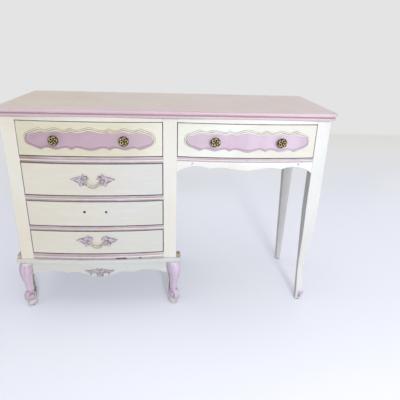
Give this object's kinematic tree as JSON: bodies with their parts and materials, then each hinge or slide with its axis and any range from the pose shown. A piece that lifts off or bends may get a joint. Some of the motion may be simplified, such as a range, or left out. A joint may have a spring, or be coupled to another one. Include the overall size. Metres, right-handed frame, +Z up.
{
  "type": "dressing table",
  "caption": "Painted kneehole dressing table: a bow-fronted pedestal of drawers on scroll feet, a drawer over the kneehole, and one top with a moulded edge.",
  "frame": {"origin": "on the floor, below the middle of the bounding box", "axes": "+X to the right as seen from in front, along the length of the top; +Y from the drawer fronts to the back; +Z up"},
  "size_m": [1.152, 0.47, 0.774],
  "materials": {
    "case_paint": "cream brushed paint, satin, chipped to bare wood at some edges",
    "front_paint": "cream brushed paint, with lavender on the raised panels",
    "rail_paint": "lavender brushed paint, rubbed through to wood in places",
    "trim_paint": "lavender brushed paint",
    "top_paint": "pinkish mauve paint, satin",
    "worn_wood": "tan wood, thinly painted",
    "bare_wood": "unpainted",
    "plate_paint": "lavender paint over cast metal",
    "antique_brass": "darkened, polished on the high spots",
    "bail_metal": "worn paint over metal",
    "steel": "zinc plated"
  },
  "bodies": {
    "case": {"apron_carving": "trim_paint", "back_centre_post": "case_paint", "back_inner_foot": "case_paint", "back_left_foot": "case_paint", "back_left_post": "case_paint", "back_right_leg": "case_paint", "base_apron": "case_paint", "base_board": "case_paint", "base_mouldings": "worn_wood", "drawer_rail_lower": "rail_paint", "drawer_rail_middle": "rail_paint", "drawer_rail_upper": "rail_paint", "drawer_runners": "bare_wood", "front_centre_post": "case_paint", "front_inner_foot": "trim_paint", "front_left_foot": "trim_paint", "front_left_post": "case_paint", "front_right_leg": "case_paint", "glides": "steel", "kneehole_apron": "case_paint", "kneehole_back_rail": "case_paint", "kneehole_drawer_rail": "rail_paint", "kneehole_side_panel": "case_paint", "kneehole_top_rail": "rail_paint", "left_side_panel": "case_paint", "pedestal_back_panel": "bare_wood", "pedestal_bottom_rail": "rail_paint", "pedestal_top_rail": "rail_paint", "right_end_rail": "case_paint", "top_board": "top_paint"},
    "upper_drawer": {"upper_drawer_back": "bare_wood", "upper_drawer_bottom": "bare_wood", "upper_drawer_front": "front_paint", "upper_drawer_sides": "bare_wood", "upper_knobs": "antique_brass", "upper_screws": "steel"},
    "kneehole_drawer": {"kneehole_drawer_back": "bare_wood", "kneehole_drawer_bottom": "bare_wood", "kneehole_drawer_front": "front_paint", "kneehole_drawer_sides": "bare_wood", "kneehole_knobs": "antique_brass", "kneehole_screws": "steel"},
    "second_drawer": {"second_drawer_back": "bare_wood", "second_drawer_bottom": "bare_wood", "second_drawer_front": "front_paint", "second_drawer_sides": "bare_wood", "second_pull_plates": "plate_paint", "second_screws": "steel"},
    "third_drawer": {"third_drawer_back": "bare_wood", "third_drawer_bottom": "bare_wood", "third_drawer_front": "front_paint", "third_drawer_sides": "bare_wood"},
    "bottom_drawer": {"bottom_drawer_back": "bare_wood", "bottom_drawer_bottom": "bare_wood", "bottom_drawer_front": "front_paint", "bottom_drawer_sides": "bare_wood", "bottom_pull_plates": "plate_paint", "bottom_screws": "steel"},
    "bottom_bail": {"bottom_bail": "bail_metal"},
    "second_bail": {"second_bail": "bail_metal"}
  },
  "joints": [
    {"name": "upper_drawer_slide", "type": "slide", "parent": "case", "child": "upper_drawer", "axis": [0, -1, 0], "range_m": [0, 0.26]},
    {"name": "kneehole_drawer_slide", "type": "slide", "parent": "case", "child": "kneehole_drawer", "axis": [0, -1, 0], "range_m": [0, 0.26]},
    {"name": "second_drawer_slide", "type": "slide", "parent": "case", "child": "second_drawer", "axis": [0, -1, 0], "range_m": [0, 0.26]},
    {"name": "third_drawer_slide", "type": "slide", "parent": "case", "child": "third_drawer", "axis": [0, -1, 0], "range_m": [0, 0.26]},
    {"name": "bottom_drawer_slide", "type": "slide", "parent": "case", "child": "bottom_drawer", "axis": [0, -1, 0], "range_m": [0, 0.26]},
    {"name": "second_bail_hinge", "type": "hinge", "parent": "second_drawer", "child": "second_bail", "pos_m": [-0.2665, -0.216, 0.531], "axis": [-1, 0, 0], "range_deg": [-6, 95]},
    {"name": "bottom_bail_hinge", "type": "hinge", "parent": "bottom_drawer", "child": "bottom_bail", "pos_m": [-0.2665, -0.216, 0.2945], "axis": [-1, 0, 0], "range_deg": [-6, 95]}
  ]
}
